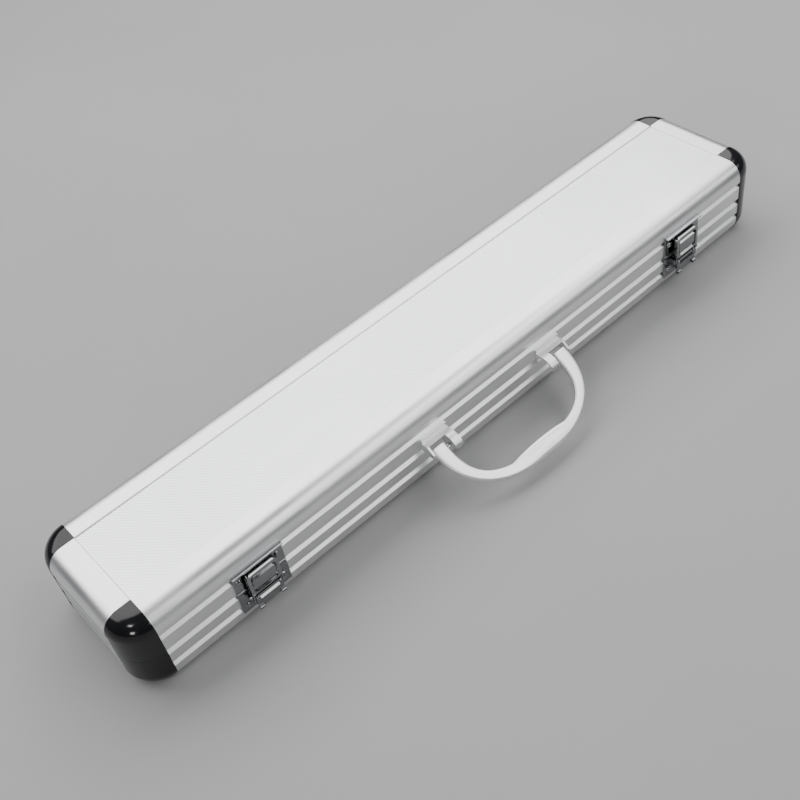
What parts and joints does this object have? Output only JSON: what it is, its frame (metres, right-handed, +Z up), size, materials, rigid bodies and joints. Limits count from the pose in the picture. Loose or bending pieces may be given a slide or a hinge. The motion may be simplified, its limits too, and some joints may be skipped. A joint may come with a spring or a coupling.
{
  "type": "cue case",
  "caption": "Long hinged two-piece cue case with aluminium rails, black corner caps, embossed silver panels, draw latches, swinging handle and foam insert.",
  "frame": {"origin": "on the floor, under the middle of the whole object with its handle and hinges", "axes": "+X along the case, -Y towards the latches and handle, +Z up"},
  "size_m": [0.8228, 0.2336, 0.0904],
  "materials": {
    "anodised_rail": "satin anodised extrusion",
    "embossed_skin": "fine diamond-embossed silver sheet",
    "backing_board": "fibreboard",
    "corner_plastic": "glossy black moulding",
    "insert_foam": "dark charcoal foam",
    "latch_chrome": "bright chrome plate",
    "hinge_steel": "nickel-plated steel",
    "bracket_metal": "fine cast, silver coat",
    "handle_plastic": "satin silver-white moulding"
  },
  "bodies": {
    "base": {"base_rail_front": "anodised_rail", "base_rail_back": "anodised_rail", "base_rail_left": "anodised_rail", "base_rail_right": "anodised_rail", "base_corner_fl": "corner_plastic", "base_corner_fr": "corner_plastic", "base_corner_bl": "corner_plastic", "base_corner_br": "corner_plastic", "base_corner_keys": "anodised_rail", "base_skin": "embossed_skin", "base_board": "backing_board", "base_foam": "insert_foam", "latch_plate_left": "latch_chrome", "latch_plate_right": "latch_chrome", "latch_plate_rivets": "latch_chrome", "latch_pivot_pins": "latch_chrome", "hinge_leaf_base": "hinge_steel", "hinge_pins": "hinge_steel", "hinge_rivets_base": "hinge_steel"},
    "lid": {"lid_rail_front": "anodised_rail", "lid_rail_back": "anodised_rail", "lid_rail_left": "anodised_rail", "lid_rail_right": "anodised_rail", "lid_corner_fl": "corner_plastic", "lid_corner_fr": "corner_plastic", "lid_corner_bl": "corner_plastic", "lid_corner_br": "corner_plastic", "lid_corner_keys": "anodised_rail", "lid_skin": "embossed_skin", "lid_board": "backing_board", "lid_foam": "insert_foam", "latch_catch_left": "latch_chrome", "latch_catch_right": "latch_chrome", "latch_catch_rivets": "latch_chrome", "handle_bracket_left": "bracket_metal", "handle_bracket_right": "bracket_metal", "handle_screws": "latch_chrome", "handle_pins": "latch_chrome", "hinge_leaf_lid": "hinge_steel", "hinge_rivets_lid": "hinge_steel"},
    "handle": {"handle": "handle_plastic"},
    "lever_left": {"latch_lever_left": "latch_chrome", "latch_claw_pin_left": "latch_chrome"},
    "claw_left": {"latch_claw_left": "latch_chrome"},
    "lever_right": {"latch_lever_right": "latch_chrome", "latch_claw_pin_right": "latch_chrome"},
    "claw_right": {"latch_claw_right": "latch_chrome"}
  },
  "joints": [
    {"name": "lid_hinge", "type": "hinge", "parent": "base", "child": "lid", "pos_m": [0, 0.11388, 0.04415], "axis": [-1, 0, 0], "range_deg": [0, 95]},
    {"name": "handle_swing", "type": "hinge", "parent": "lid", "child": "handle", "pos_m": [0, -0.05662, 0.0467], "axis": [-1, 0, 0], "range_deg": [0, 105]},
    {"name": "latch_lever_left", "type": "hinge", "parent": "base", "child": "lever_left", "pos_m": [-0.281, -0.04762, 0.038], "axis": [-1, 0, 0], "range_deg": [0, 85]},
    {"name": "latch_claw_left", "type": "hinge", "parent": "lever_left", "child": "claw_left", "pos_m": [-0.281, -0.04642, 0.0315], "axis": [-1, 0, 0], "range_deg": [-97.75, 0]},
    {"name": "latch_lever_right", "type": "hinge", "parent": "base", "child": "lever_right", "pos_m": [0.281, -0.04762, 0.038], "axis": [-1, 0, 0], "range_deg": [0, 85]},
    {"name": "latch_claw_right", "type": "hinge", "parent": "lever_right", "child": "claw_right", "pos_m": [0.281, -0.04642, 0.0315], "axis": [-1, 0, 0], "range_deg": [-97.75, 0]}
  ],
  "couplings": [
    {"joint": "latch_claw_left", "follows": "latch_lever_left", "ratio": -1.15},
    {"joint": "latch_claw_right", "follows": "latch_lever_right", "ratio": -1.15}
  ]
}
